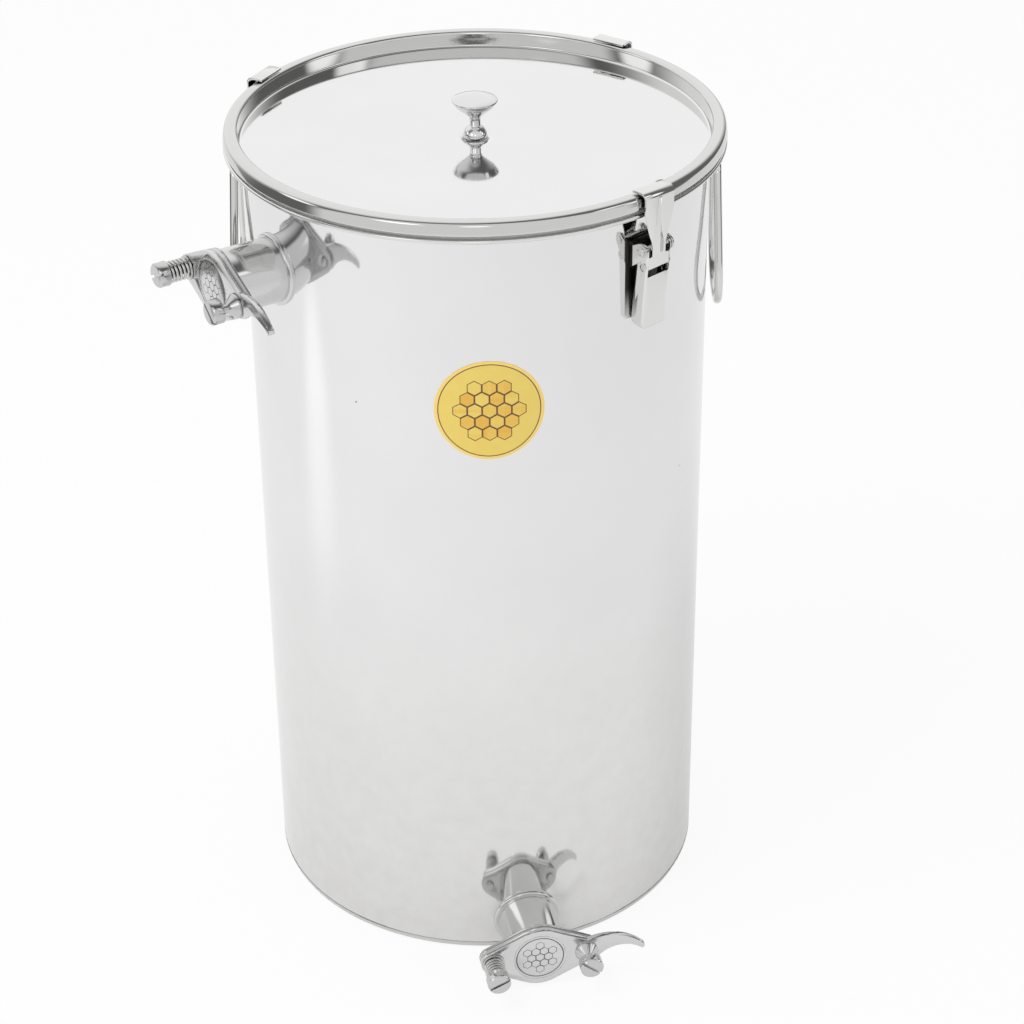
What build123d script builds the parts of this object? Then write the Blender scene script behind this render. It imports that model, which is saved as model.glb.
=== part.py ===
from build123d import *
import os
from math import asin, atan2, cos, hypot, pi, sin, sqrt

# Stainless honey straining can: a plain drum with two honey gates, a gasketed lid held by
# three toggle latches, two swinging carrying handles and a strainer basket hung in its mouth.
# Millimetres, Z up, the origin at the middle of the floor, the lower gate facing -Y.

# Tank
tank_r = 180.0
tank_wall = 1.2
tank_height = 655.0
mouth_round = 0.5
rim_reach = 11.4
rim_thickness = 2.5
rim_bead_r = 1.7
rim_bead_drop = 0.2
floor_sheet = 1.5
floor_side = 6.0
floor_corner = 5.0
seam_groove = 0.8
seam_height = 1.2

# Lid: a pressed disc with a raised channel round its edge that holds the gasket
lid_sheet = 1.2
lid_skirt_reach = 13.4
lid_skirt_gap = 3.9
lid_hem = 2.2
lid_hem_bend = 2.0
lid_disc_rise = 1.5
lid_wall_reach = 1.0
lid_wall_lean = 0.6
lid_crown_rise = 13.1
lid_foot_bend = 2.0
lid_inner_bend = 2.5
lid_outer_bend = 2.0
lid_dish = 2.0
lid_dish_r = 140.0
lid_boss_r = 22.0
lid_dish_bend = 400.0
gasket_width = 6.0
gasket_play = 0.6
gasket_gap = 0.3

# Knob and the screw that holds it from under the lid
knob_base_r = 9.25
knob_base_edge = 1.6
knob_neck_r = 4.2
knob_flare_height = 9.0
knob_flare_bulge = 1.3
knob_neck_top = 16.9
knob_dish_r = 18.0
knob_dish_height = 29.3
knob_dome_rise = 4.5
knob_bowl_bulge = 2.5
knob_screw_r = 3.0
knob_screw_grip = 10.0
knob_screw_head_r = 5.5
knob_screw_head = 4.0
knob_washer_r = 9.0
knob_washer = 1.2

# Honey gates
gate_azimuths = {"lower": 0.0, "upper": -68.3}
lower_gate_height = 30.0
upper_gate_drop = 65.0
outlet_r = 25.0
outlet_wall = 2.0
outlet_reach = 42.0
weld_width = 3.0
weld_proud = 2.8
weld_round = 1.8
flange_thickness = 5.0
plate_half_height = 27.0
bolt_half_spacing = 38.7
lobe_r = 10.0
blade_thickness = 4.7
bolt_shank_r = 4.0
bolt_head_r = 9.5
bolt_head = 9.0
bolt_edge = 1.2
slot_width = 2.2
slot_depth = 3.0
pivot_slot_turn = 25.0
lock_slot_turn = -40.0
bolt_tail = 1.0
spring_space = 18.0
spring_mean_r = 7.4
spring_wire_r = 1.1
spring_turns = 4.5
washer_r = 9.3
washer_thickness = 1.5
lock_cone = 7.5
lock_neck_r = 3.5
lock_neck = 6.0
horn_reach = 49.2
horn_arch = 13.0
horn_arch_reach = 22.0
horn_hollow = 1.7
horn_hollow_reach = 32.5
horn_tip = 4.9
horn_tip_drop = 2.2
horn_root = 7.0
ring_groove_r = 21.5
ring_groove_width = 0.7
ring_groove_depth = 0.35
notch_play = 0.8

# Toggle latches, measured from the lever's pivot
latch_azimuths = {"front": 31.8, "right": 133.2, "left": -129.0}
latch_pivot_drop = 28.7
latch_pivot_offset = 12.5
link_drop = 13.0
link_offset = 0.9
latch_plate = 1.5
latch_plate_top = 3.0
latch_plate_bottom = 58.0
latch_plate_half = 15.5
latch_plate_round = 3.0
latch_roll_r = 2.0
ear_sheet = 1.5
ear_round = 6.0
ear_foot = 17.0
ear_top = 0.5
lever_half = 12.2
lever_sheet = 1.2
lever_top_round = 5.2
lever_link_round = 4.2
lever_tail = 62.0
lever_tail_back = 7.7
lever_tail_front = 2.2
lever_tail_rise = 3.5
lever_tail_round = 3.0
lever_tail_corner = 6.0
lever_front_round = 2.8
lever_web_drop = 20.3
pivot_pin_r = 2.2
hook_pin_r = 2.0
pin_head_r = 3.2
pivot_head = 1.3
hook_pin_head = 1.0
strap_sheet = 1.5
strap_gap = 2.5
hook_foot_height = 8.0
hook_waist_half = 6.8
hook_waist_height = 16.5
hook_claw_half = 14.4
hook_shoulder_drop = 15.0
claw_gap = 1.4
claw_bend = 4.0
claw_reach = 3.2
lip_length = 3.0
lip_dip = 0.5
lip_bend = 6.0
rib_half = 2.5
rib_height = 1.2
rib_inset = 10.0
stud_r = 2.0
stud_head_r = 3.2
stud_head = 1.3
stud_drops = (6.0, 28.0, 50.0)

# Carrying handles
handle_azimuths = {"right": 78.5, "left": -101.5}
handle_drop = 18.0
handle_lean = 1.6
handle_rod_r = 3.3
handle_wall_gap = 1.7
handle_top_half = 17.0
handle_bottom_half = 52.0
handle_depth = 117.0
handle_top_bend = 9.0
handle_bottom_bend = 34.0
bracket_sheet = 1.5
bracket_half = 9.0
bracket_flange = 9.5
bracket_bend = 1.5

# Front label
label_azimuth = -8.05
label_drop = 142.5
label_r = 41.0
label_thickness = 0.3

# Strainer basket on its three lugs
strainer_r = 149.0
strainer_sheet = 1.0
strainer_depth = 170.0
strainer_rim_r = 3.0
strainer_drop = 26.0
strainer_slots = 18
strainer_slot_width = 12.0
strainer_slot_inset = 25.0
strainer_floor_holes = 12
strainer_floor_hole_r = 9.0
strainer_floor_circle_r = 95.0
lug_azimuths = (0.0, 120.0, 240.0)
lug_sheet = 3.0
lug_half = 15.0
lug_flange = 20.0
lug_bend = 4.0
lug_overlap = 6.0

# Clearances
run_clearance = 0.05
face_clearance = 0.3
side_play = 0.4
weld_clearance = 0.1
seat_gap = 0.05

tank_bore_r = tank_r - tank_wall
lid_disc_z = tank_height + lid_disc_rise
knob_z = lid_disc_z - lid_dish
gate_heights = {"lower": lower_gate_height, "upper": tank_height - upper_gate_drop}
flange_back = tank_r + outlet_reach
flange_front = flange_back + flange_thickness
blade_back = flange_front + face_clearance
blade_front = blade_back + blade_thickness
washer_back = blade_front + face_clearance
outlet_bore_r = outlet_r - outlet_wall
latch_z = tank_height - latch_pivot_drop
pivot_n = tank_r + latch_pivot_offset
link_n = pivot_n + link_offset
ear_in = lever_half + side_play
ear_out = ear_in + ear_sheet
handle_z = tank_height - handle_drop
handle_n = tank_r + handle_wall_gap + handle_rod_r
strainer_rim_z = tank_height - strainer_drop
side_plane = Plane(origin=(0, 0, 0), x_dir=(0, 0, 1), z_dir=(-1, 0, 0))


def station(azimuth, height):
    """Frame on the can's side: X along the wall, Y up, Z outward from the can's axis."""
    return Rot(0, 0, azimuth) * Pos(0, 0, height) * Rot(90, 0, 0)


def drum(radius, height):
    """Upright cylinder about the can's axis, as seen from a station."""
    return Rot(90, 0, 0) * Cylinder(radius, height)


def outline(*points):
    return make_face(Polyline(*points, close=True))


def turned(*points):
    """Solid of revolution about Z from points of radius and height."""
    return revolve(Plane.XZ * outline(*points), Axis.Z)


def sheet(points, bends, thickness):
    """Section of bent sheet: a line with rounded corners, thickened to its left."""
    line = FilletPolyline(*points, radius=bends)
    return make_face(offset(line, thickness, side=Side.LEFT))


def disc(radius, start, end):
    """Plain cylinder along Z between two heights."""
    return Pos(0, 0, (start + end) / 2) * Cylinder(radius, end - start)


def cross_pin(radius, half_length):
    """Pin along X."""
    return Rot(0, 90, 0) * Cylinder(radius, 2 * half_length)


def capped_pin(radius, half_length, head_r, head):
    """Pin along X with a low domed head at each end."""
    cap = turned((0, 0), (head_r, 0), (head_r, head * 0.4), (head_r * 0.6, head), (0, head))
    pin = cross_pin(radius, half_length)
    for side in (90, -90):
        pin += Rot(0, side, 0) * Pos(0, 0, half_length) * cap
    return pin


def gate_hole(name):
    """Round hole through the tank's wall for one outlet tube."""
    hole = disc(outlet_r + weld_clearance, tank_r / 2, 2 * tank_r)
    return station(gate_azimuths[name], gate_heights[name]) * hole


# Tank: a rolled wall on a pressed floor pan, with a beaded rim ring welded round its mouth
def make_tank_shell():
    section = outline(
        (tank_bore_r, floor_side),
        (tank_r - seam_groove, floor_side),
        (tank_r - seam_groove, floor_side + seam_height),
        (tank_r, floor_side + seam_height),
        (tank_r, tank_height),
        (tank_bore_r, tank_height),
    )
    section = fillet(section.vertices().group_by(Axis.Y)[-1], mouth_round)
    shell = revolve(Plane.XZ * section, Axis.Z)
    for name in gate_azimuths:
        shell -= gate_hole(name)
    return shell


def make_tank_rim():
    inner_r = tank_r + seat_gap
    bead_r = tank_r + rim_reach
    under_rim = tank_height - rim_thickness
    section = outline(
        (inner_r, under_rim),
        (bead_r, under_rim),
        (bead_r, tank_height),
        (inner_r, tank_height),
    )
    section += Pos(bead_r, tank_height - rim_bead_drop) * Circle(rim_bead_r)
    return revolve(Plane.XZ * section, Axis.Z)


def make_tank_floor():
    section = sheet(((0, 0), (tank_r, 0), (tank_r, floor_side)), floor_corner, floor_sheet)
    return revolve(Plane.XZ * section, Axis.Z) - gate_hole("lower")


# Lid
def make_lid_pan():
    skirt_r = tank_r + lid_skirt_reach
    foot_r = tank_r + lid_wall_reach
    crown_z = lid_disc_z + lid_crown_rise
    section = sheet(
        (
            (skirt_r - lid_hem, tank_height + lid_skirt_gap),
            (skirt_r, tank_height + lid_skirt_gap),
            (skirt_r, crown_z),
            (foot_r + lid_wall_lean, crown_z),
            (foot_r, lid_disc_z),
            (lid_dish_r, lid_disc_z),
            (lid_boss_r, knob_z),
            (0, knob_z),
        ),
        (lid_hem_bend, lid_outer_bend, lid_inner_bend, lid_foot_bend, lid_dish_bend, lid_dish_bend),
        lid_sheet,
    )
    screw_hole = disc(knob_screw_r + weld_clearance, knob_z - 2 * lid_sheet, knob_z + lid_sheet)
    return revolve(Plane.XZ * section, Axis.Z) - screw_hole


def make_lid_gasket():
    inner_r = tank_r + lid_wall_reach + lid_wall_lean + lid_sheet + gasket_play
    outer_r = inner_r + gasket_width
    bottom = tank_height + gasket_gap
    top = lid_disc_z + lid_crown_rise - lid_sheet - gasket_play
    return turned((inner_r, bottom), (outer_r, bottom), (outer_r, top), (inner_r, top))


# Knob: a turned mushroom with a domed dish on a slim neck
def make_lid_knob():
    foot = (knob_neck_r, knob_flare_height)
    neck = (knob_neck_r, knob_neck_top)
    edge = (knob_dish_r, knob_dish_height)
    bowl_mid = (
        (neck[0] + edge[0]) / 2 + knob_bowl_bulge,
        (neck[1] + edge[1]) / 2 - knob_bowl_bulge,
    )
    dome_mid_r = knob_dish_r / 2
    dome_r = (knob_dish_r ** 2 + knob_dome_rise ** 2) / (2 * knob_dome_rise)
    dome_top = knob_dish_height + knob_dome_rise
    dome_mid_z = dome_top - dome_r + sqrt(dome_r ** 2 - dome_mid_r ** 2)
    base = (knob_base_r, knob_base_edge)
    flare_mid = (
        (base[0] + foot[0]) / 2 + knob_flare_bulge,
        (base[1] + foot[1]) / 2 + knob_flare_bulge,
    )
    profile = Polyline((0, dome_top), (0, 0), (knob_base_r, 0), base)
    profile += ThreePointArc(base, flare_mid, foot)
    profile += Line(foot, neck)
    profile += ThreePointArc(neck, bowl_mid, edge)
    profile += ThreePointArc(edge, (dome_mid_r, dome_mid_z), (0, dome_top))
    knob = revolve(Plane.XZ * make_face(profile), Axis.Z)
    knob -= disc(knob_screw_r + seat_gap, 0, knob_screw_grip + seat_gap)
    return Pos(0, 0, knob_z) * knob


def make_knob_screw():
    head_top = knob_z - lid_sheet - knob_washer
    screw = disc(knob_screw_r, head_top, knob_z + knob_screw_grip)
    return screw + disc(knob_screw_head_r, head_top - knob_screw_head, head_top)


def make_knob_washer():
    top = knob_z - lid_sheet
    return disc(knob_washer_r, top - knob_washer, top) - disc(knob_screw_r + weld_clearance, 0, top)


# Honey gate: a welded outlet tube, a flange on its end and a blade that swings across it
def make_outlet():
    start = tank_r / 2
    span = 4 * outlet_r
    # The weld is a bead of even height that follows the curve where tube and wall meet
    bead = disc(outlet_r + weld_width, start, flange_back) & drum(tank_r + weld_proud, span)
    crest = max(bead.edges(), key=lambda edge: edge.bounding_box().min.Z)
    bead = fillet(crest, weld_round) - drum(tank_r, span)
    outlet = disc(outlet_r, start, flange_back) + bead
    outlet -= drum(tank_bore_r, span)
    return outlet - disc(outlet_bore_r, start, flange_back)


def plate_outline():
    """Rounded diamond of the gate's flange: a wide middle with a bolt lobe at each end."""
    circles = [Circle(plate_half_height).edge()]
    for side in (-1, 1):
        circles.append((Pos(side * bolt_half_spacing, 0) * Circle(lobe_r)).edge())
    return make_hull(circles)


def make_flange():
    flange = extrude(Pos(0, 0, flange_back) * plate_outline(), flange_thickness)
    flange -= disc(outlet_bore_r, flange_back, flange_front)
    for side in (-1, 1):
        hole = disc(bolt_shank_r + run_clearance, flange_back, flange_front)
        flange -= Pos(side * bolt_half_spacing, 0, 0) * hole
    return flange


def horn_outline():
    """Thumb horn: arched above, hollowed below, drawn down to a round tip."""
    lock = bolt_half_spacing
    tip = lock + horn_reach
    root_top = (lock, lobe_r)
    root_low = (lock + lobe_r, -horn_root)
    tip_top = (tip - horn_tip / 3, horn_tip / 2 - horn_tip_drop)
    tip_end = (tip, -horn_tip_drop)
    tip_low = (tip - horn_tip / 2, -horn_tip_drop - horn_tip / 2)
    top = ThreePointArc(root_top, (lock + horn_arch_reach, horn_arch), tip_top)
    end = ThreePointArc(tip_top, tip_end, tip_low)
    low = ThreePointArc(tip_low, (lock + horn_hollow_reach, horn_hollow), root_low)
    root = Polyline(root_low, (lock, -lobe_r), root_top)
    return make_face(top + end + low + root)


def make_blade():
    profile = plate_outline() + horn_outline()
    lock_gap = bolt_shank_r + notch_play
    spacing = 2 * bolt_half_spacing
    # The lock's slot runs down along the arc that it follows as the blade swings up
    slot = Circle(spacing + lock_gap) - Circle(spacing - lock_gap)
    slot &= Pos(spacing, -spacing / 2) * Rectangle(spacing, spacing)
    profile -= Pos(-bolt_half_spacing, 0) * slot
    profile -= Pos(bolt_half_spacing, 0) * Circle(lock_gap)
    blade = extrude(Pos(0, 0, blade_back) * profile, blade_thickness)
    blade -= Pos(-bolt_half_spacing, 0, 0) * disc(bolt_shank_r + run_clearance, blade_back, blade_front)
    groove = disc(ring_groove_r + ring_groove_width, blade_front - ring_groove_depth, blade_front)
    groove -= disc(ring_groove_r, blade_front - ring_groove_depth, blade_front)
    return blade - groove


def slotted(head_top, turn):
    """Screwdriver slot across a bolt head."""
    return Pos(0, 0, head_top) * Rot(0, 0, turn) * Box(3 * bolt_head_r, slot_width, 2 * slot_depth)


def make_pivot_bolt():
    head_back = blade_front + spring_space
    head_top = head_back + bolt_head
    bolt = turned(
        (0, flange_back - bolt_tail),
        (bolt_shank_r, flange_back - bolt_tail),
        (bolt_shank_r, head_back),
        (bolt_head_r, head_back),
        (bolt_head_r, head_top - bolt_edge),
        (bolt_head_r - bolt_edge, head_top),
        (0, head_top),
    )
    return Pos(-bolt_half_spacing, 0, 0) * (bolt - slotted(head_top, pivot_slot_turn))


def make_lock_screw():
    cone_back = washer_back
    neck_start = cone_back + lock_cone
    head_back = neck_start + lock_neck
    head_top = head_back + bolt_head
    screw = turned(
        (0, flange_back - bolt_tail),
        (bolt_shank_r, flange_back - bolt_tail),
        (bolt_shank_r, cone_back),
        (bolt_head_r, cone_back),
        (bolt_head_r, cone_back + bolt_edge),
        (lock_neck_r, neck_start),
        (lock_neck_r, head_back),
        (bolt_head_r, head_back),
        (bolt_head_r, head_top - bolt_edge),
        (bolt_head_r - bolt_edge, head_top),
        (0, head_top),
    )
    return Pos(bolt_half_spacing, 0, 0) * (screw - slotted(head_top, lock_slot_turn))


def make_spring_washer():
    washer = disc(washer_r, washer_back, washer_back + washer_thickness)
    washer -= disc(bolt_shank_r + weld_clearance, washer_back, washer_back + washer_thickness)
    return Pos(-bolt_half_spacing, 0, 0) * washer


def coil_points(rise, count):
    """Centre line of the spring's wire at even steps, with its heading there."""
    spots = []
    for step in range(count + 1):
        angle = 2 * pi * spring_turns * step / count
        spot = Vector(spring_mean_r * cos(angle), spring_mean_r * sin(angle), rise * step / count)
        climb = rise / (2 * pi * spring_turns)
        heading = Vector(-spring_mean_r * sin(angle), spring_mean_r * cos(angle), climb).normalized()
        spots.append((spot, heading))
    return spots


def make_gate_spring():
    bottom = washer_back + washer_thickness + spring_wire_r + weld_clearance
    top = blade_front + spring_space - spring_wire_r - weld_clearance
    spots = coil_points(top - bottom, round(4 * spring_turns))
    arcs = []
    for (start, leave), (end, arrive) in zip(spots, spots[1:]):
        # Two arcs that share a tangent carry the wire through each quarter turn
        chord = end - start
        lean = chord.dot(leave + arrive)
        spread = 2 * (1 - leave.dot(arrive))
        reach = (sqrt(lean ** 2 + spread * chord.dot(chord)) - lean) / spread
        near = start + leave * reach
        far = end - arrive * reach
        middle = (near + far) * 0.5
        arcs.append(Edge.make_tangent_arc(start, leave, middle))
        arcs.append(Edge.make_tangent_arc(middle, far - near, end))
    section = Plane(origin=spots[0][0], z_dir=spots[0][1]) * Circle(spring_wire_r)
    return Pos(-bolt_half_spacing, 0, bottom) * sweep(section, path=Wire(arcs))


def least_spring_gap():
    """Least distance between the surfaces of neighbouring turns, measured on points."""
    rise = spring_space - face_clearance - washer_thickness - 2 * (spring_wire_r + weld_clearance)
    per_turn = 48
    spots = [spot for spot, heading in coil_points(rise, round(per_turn * spring_turns))]
    nearest = min(
        (spot - other).length
        for index, spot in enumerate(spots)
        for other in spots[index + per_turn // 2:]
    )
    return nearest - 2 * spring_wire_r


# Toggle latch: base plate with two ears, a channel lever and a strap hook with a claw
def make_latch_base():
    top = latch_plate_top
    bottom = -latch_plate_bottom
    face = outline(
        (-latch_plate_half, top),
        (-latch_plate_half, bottom),
        (latch_plate_half, bottom),
        (latch_plate_half, top),
    )
    face = fillet(face.vertices(), latch_plate_round)
    blank = extrude(face, 2 * tank_r)
    span = 4 * latch_plate_bottom
    plate = blank & (drum(tank_r + latch_plate, span) - drum(tank_r, span))
    # The ears stand on the curved plate, so their foot follows its height at their place
    foot_n = sqrt(tank_r ** 2 - ear_out ** 2) + latch_plate / 2
    cheek = make_hull(
        [
            (Pos(pivot_n, 0) * Circle(ear_round)).edge(),
            Line((foot_n, -ear_foot), (foot_n, ear_top)),
        ]
    )
    cheek -= Pos(pivot_n, 0) * Circle(pivot_pin_r + seat_gap)
    ear = extrude(side_plane * cheek, ear_sheet / 2, both=True)
    for side in (-1, 1):
        plate += Pos(side * (ear_in + ear_sheet / 2), 0, 0) * ear
    roll = Pos(0, latch_plate_top, tank_r + latch_roll_r) * cross_pin(latch_roll_r, ear_out)
    plate += roll - drum(tank_r, span)
    for spot in stud_spots():
        plate -= spot * disc(stud_r + seat_gap, tank_r / 2, 2 * tank_r)
    return plate


def stud_spots():
    """Places of the studs on a latch plate, in line behind the lever."""
    return [Pos(0, -drop, 0) for drop in stud_drops]


def make_latch_studs():
    seat = tank_r + latch_plate
    stud = turned(
        (0, tank_r + seat_gap),
        (stud_r, tank_r + seat_gap),
        (stud_r, seat + seat_gap),
        (stud_head_r, seat + seat_gap),
        (stud_head_r, seat + stud_head * 0.5),
        (stud_head_r * 0.6, seat + stud_head),
        (0, seat + stud_head),
    )
    return Compound([spot * stud for spot in stud_spots()])


def lever_outline():
    """Side of the lever: round about both pins, drawn down to a blunt tail."""
    rounds = (
        (pivot_n, 0, lever_top_round),
        (link_n, -link_drop, lever_link_round),
        (pivot_n - lever_tail_back, lever_tail_rise - lever_tail, lever_tail_round),
        (pivot_n - lever_tail_front, -lever_tail, lever_tail_round),
    )
    return make_hull([(Pos(n, y) * Circle(r)).edge() for n, y, r in rounds])


def lever_block(inset):
    """The lever's outer form with rounded front edges and tail corners, or the hollow inside it."""
    half = lever_half - inset
    low = lever_tail + lever_tail_round
    block = extrude(side_plane * lever_outline(), half, both=True)
    tail = outline((-half, -low), (half, -low), (half, low), (-half, low))
    tail = fillet(tail.vertices().group_by(Axis.Y)[0], lever_tail_corner - inset)
    block &= extrude(tail, 2 * tank_r)
    # The front leans in towards the tail, along the line that touches both rounds
    run = lever_tail - link_drop
    fall = link_offset + lever_tail_front
    lean = atan2(fall, run) + asin((lever_link_round - lever_tail_round) / hypot(fall, run))
    front = Plane(
        origin=(0, -link_drop - lever_link_round * sin(lean), link_n + lever_link_round * cos(lean)),
        x_dir=(1, 0, 0),
        z_dir=(0, cos(lean), sin(lean)),
    )
    section = outline((-half, 0), (half, 0), (half, lever_tail), (-half, lever_tail))
    section = fillet(section.vertices().group_by(Axis.Y)[0], lever_front_round - inset)
    block &= extrude(front * section, 2 * lever_tail, both=True)
    return Pos(0, inset, -inset / cos(lean)) * block


def make_latch_lever():
    inside_half = lever_half - lever_sheet
    # Hollow behind the front web and above the tail, and open above the web
    open_top = Pos(0, lever_tail / 2 - lever_web_drop, pivot_n) * Box(2 * inside_half, lever_tail, lever_tail)
    lever = lever_block(0) - lever_block(lever_sheet) - open_top
    lever -= Pos(0, 0, pivot_n) * cross_pin(pivot_pin_r + run_clearance, lever_half)
    return lever - Pos(0, -link_drop, link_n) * cross_pin(hook_pin_r + seat_gap, lever_half)


def make_latch_hook(lid_top):
    bore_r = hook_pin_r + run_clearance
    eye_r = bore_r + strap_sheet
    eye_y = -link_drop
    claw_y = lid_top + claw_gap - latch_z
    lip_n = tank_r + claw_reach
    head = (tank_r + lid_skirt_reach + strap_gap, claw_y)
    foot = (link_n + bore_r, eye_y)
    section = sheet(
        ((lip_n, claw_y - lip_dip), (lip_n + lip_length, claw_y), head, foot),
        (lip_bend, claw_bend),
        strap_sheet,
    )
    section += Pos(link_n, eye_y) * Circle(eye_r)
    section -= Pos(link_n, eye_y) * Circle(bore_r)
    strap = extrude(side_plane * section, hook_claw_half, both=True)
    # Seen from the front: a wide claw, a narrow waist and a foot between the lever's cheeks
    foot_half = lever_half - lever_sheet - side_play
    half_outline = (
        (hook_claw_half, claw_y + 2 * strap_sheet),
        (hook_claw_half, claw_y - hook_shoulder_drop),
        (hook_waist_half, eye_y + hook_waist_height),
        (hook_waist_half, eye_y + hook_foot_height),
        (foot_half, eye_y + hook_foot_height),
        (foot_half, eye_y - 2 * eye_r),
    )
    mirrored = [(-t, y) for t, y in reversed(half_outline)]
    strap &= extrude(outline(*half_outline, *mirrored), 2 * tank_r)
    # The rib runs up the strap's face, which leans in towards the lid
    lean = (head[0] - foot[0]) / (head[1] - foot[1])
    start_y = eye_y + rib_inset
    end_y = claw_y - claw_bend
    start = Vector(0, start_y, foot[0] + strap_sheet / 2 + lean * (start_y - eye_y))
    end = Vector(0, end_y, foot[0] + strap_sheet / 2 + lean * (end_y - eye_y))
    ridge = Plane(origin=start, x_dir=(1, 0, 0), z_dir=end - start)
    rib = outline((-rib_half, 0), (rib_half, 0), (0, -strap_sheet / 2 - rib_height))
    return strap + extrude(ridge * rib, (end - start).length)


def make_pivot_pin():
    return Pos(0, 0, pivot_n) * capped_pin(pivot_pin_r, ear_out, pin_head_r, pivot_head)


def make_hook_pin():
    return Pos(0, -link_drop, link_n) * capped_pin(hook_pin_r, lever_half, pin_head_r, hook_pin_head)


# Carrying handle: a closed rod loop whose straight top turns in a saddle strap
def make_handle_ring():
    loop = FilletPolyline(
        (-handle_top_half, 0),
        (handle_top_half, 0),
        (handle_bottom_half, -handle_depth),
        (-handle_bottom_half, -handle_depth),
        radius=(handle_top_bend, handle_top_bend, handle_bottom_bend, handle_bottom_bend),
        close=True,
    )
    section = Plane(origin=loop @ 0, z_dir=loop % 0) * Circle(handle_rod_r)
    ring = sweep(section, path=loop.wire())
    return Pos(0, 0, handle_n) * Rot(-handle_lean, 0, 0) * ring


def saddle_space(half_height):
    """Section of the rod's seat: square to the wall, rounded about the rod."""
    block = Pos((tank_r + handle_n) / 2, 0) * Rectangle(handle_n - tank_r, 2 * half_height)
    return block + Pos(handle_n, 0) * Circle(half_height)


def make_handle_bracket():
    bore = handle_rod_r + run_clearance
    flange_n = tank_r + bracket_sheet
    section = saddle_space(bore + bracket_sheet)
    section += Pos(tank_r + bracket_sheet / 2, 0) * Rectangle(bracket_sheet, 2 * bracket_flange)
    for side in (-1, 1):
        root = (flange_n, side * (bore + bracket_sheet), 0)
        section = fillet(section.vertices().sort_by_distance(root)[0], bracket_bend)
    section -= saddle_space(bore)
    return extrude(side_plane * section, bracket_half, both=True)


def make_label():
    skin = drum(tank_r + seat_gap + label_thickness, 4 * label_r) - drum(tank_r + seat_gap, 4 * label_r)
    return skin & disc(label_r, 0, 2 * tank_r)


# Strainer: a slotted basket with a wire rim that rests on three lugs inside the wall
def make_strainer_basket():
    top = strainer_rim_z + strainer_rim_r
    bottom = strainer_rim_z - strainer_depth
    basket = disc(strainer_r, bottom, top)
    basket -= disc(strainer_r - strainer_sheet, bottom + strainer_sheet, top)
    slot_length = strainer_depth - 2 * strainer_slot_inset
    slot = SlotOverall(slot_length, strainer_slot_width, rotation=90)
    slot = extrude(slot, 2 * strainer_r)
    for index in range(strainer_slots):
        turn = 360 * index / strainer_slots
        basket -= station(turn, (bottom + strainer_rim_z) / 2) * slot
    holes = PolarLocations(strainer_floor_circle_r, strainer_floor_holes)
    for spot in holes:
        basket -= Pos(0, 0, bottom) * spot * Cylinder(strainer_floor_hole_r, 4 * strainer_sheet)
    return basket


def make_strainer_rim():
    ring = Pos(strainer_r + seat_gap + strainer_rim_r, strainer_rim_z) * Circle(strainer_rim_r)
    return revolve(Plane.XZ * ring, Axis.Z)


def make_strainer_lugs():
    wall_n = sqrt(tank_bore_r ** 2 - lug_half ** 2) - seat_gap
    shelf_y = strainer_rim_z - strainer_rim_r - seat_gap
    tip_n = strainer_r + 2 * strainer_rim_r - lug_overlap
    section = sheet(((wall_n, -lug_flange), (wall_n, 0), (tip_n, 0)), lug_bend, lug_sheet)
    lug = extrude(side_plane * section, lug_half, both=True)
    return Compound([station(azimuth, shelf_y) * lug for azimuth in lug_azimuths])


parts = {
    "tank_shell": make_tank_shell(),
    "tank_rim": make_tank_rim(),
    "tank_floor": make_tank_floor(),
    "lid_pan": make_lid_pan(),
    "lid_gasket": make_lid_gasket(),
    "lid_knob": make_lid_knob(),
    "knob_screw": make_knob_screw(),
    "knob_washer": make_knob_washer(),
    "front_label": station(label_azimuth, tank_height - label_drop) * make_label(),
    "strainer_basket": make_strainer_basket(),
    "strainer_rim": make_strainer_rim(),
    "strainer_lugs": make_strainer_lugs(),
}

gate_pieces = {
    "outlet": make_outlet(),
    "flange": make_flange(),
    "blade": make_blade(),
    "pivot_bolt": make_pivot_bolt(),
    "spring": make_gate_spring(),
    "spring_washer": make_spring_washer(),
    "lock_screw": make_lock_screw(),
}
for name in gate_azimuths:
    spot = station(gate_azimuths[name], gate_heights[name])
    for piece, solid in gate_pieces.items():
        parts[f"{name}_gate_{piece}"] = spot * solid

lid_top = parts["lid_pan"].bounding_box().max.Z
latch_pieces = {
    "base": make_latch_base(),
    "studs": make_latch_studs(),
    "lever": make_latch_lever(),
    "hook": make_latch_hook(lid_top),
    "pivot_pin": make_pivot_pin(),
    "hook_pin": make_hook_pin(),
}
for name, azimuth in latch_azimuths.items():
    for piece, solid in latch_pieces.items():
        parts[f"{name}_latch_{piece}"] = station(azimuth, latch_z) * solid

handle_pieces = {"ring": make_handle_ring(), "bracket": make_handle_bracket()}
for name, azimuth in handle_azimuths.items():
    for piece, solid in handle_pieces.items():
        parts[f"{name}_handle_{piece}"] = station(azimuth, handle_z) * solid

os.makedirs("parts", exist_ok=True)
for name, solid in parts.items():
    export_step(solid, f"parts/{name}.step")

print(f"lid top at {lid_top:.2f} mm, least gap in the gate springs {least_spring_gap():.2f} mm")
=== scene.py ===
import bpy
import bmesh
import math
from mathutils import Matrix, Vector


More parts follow.
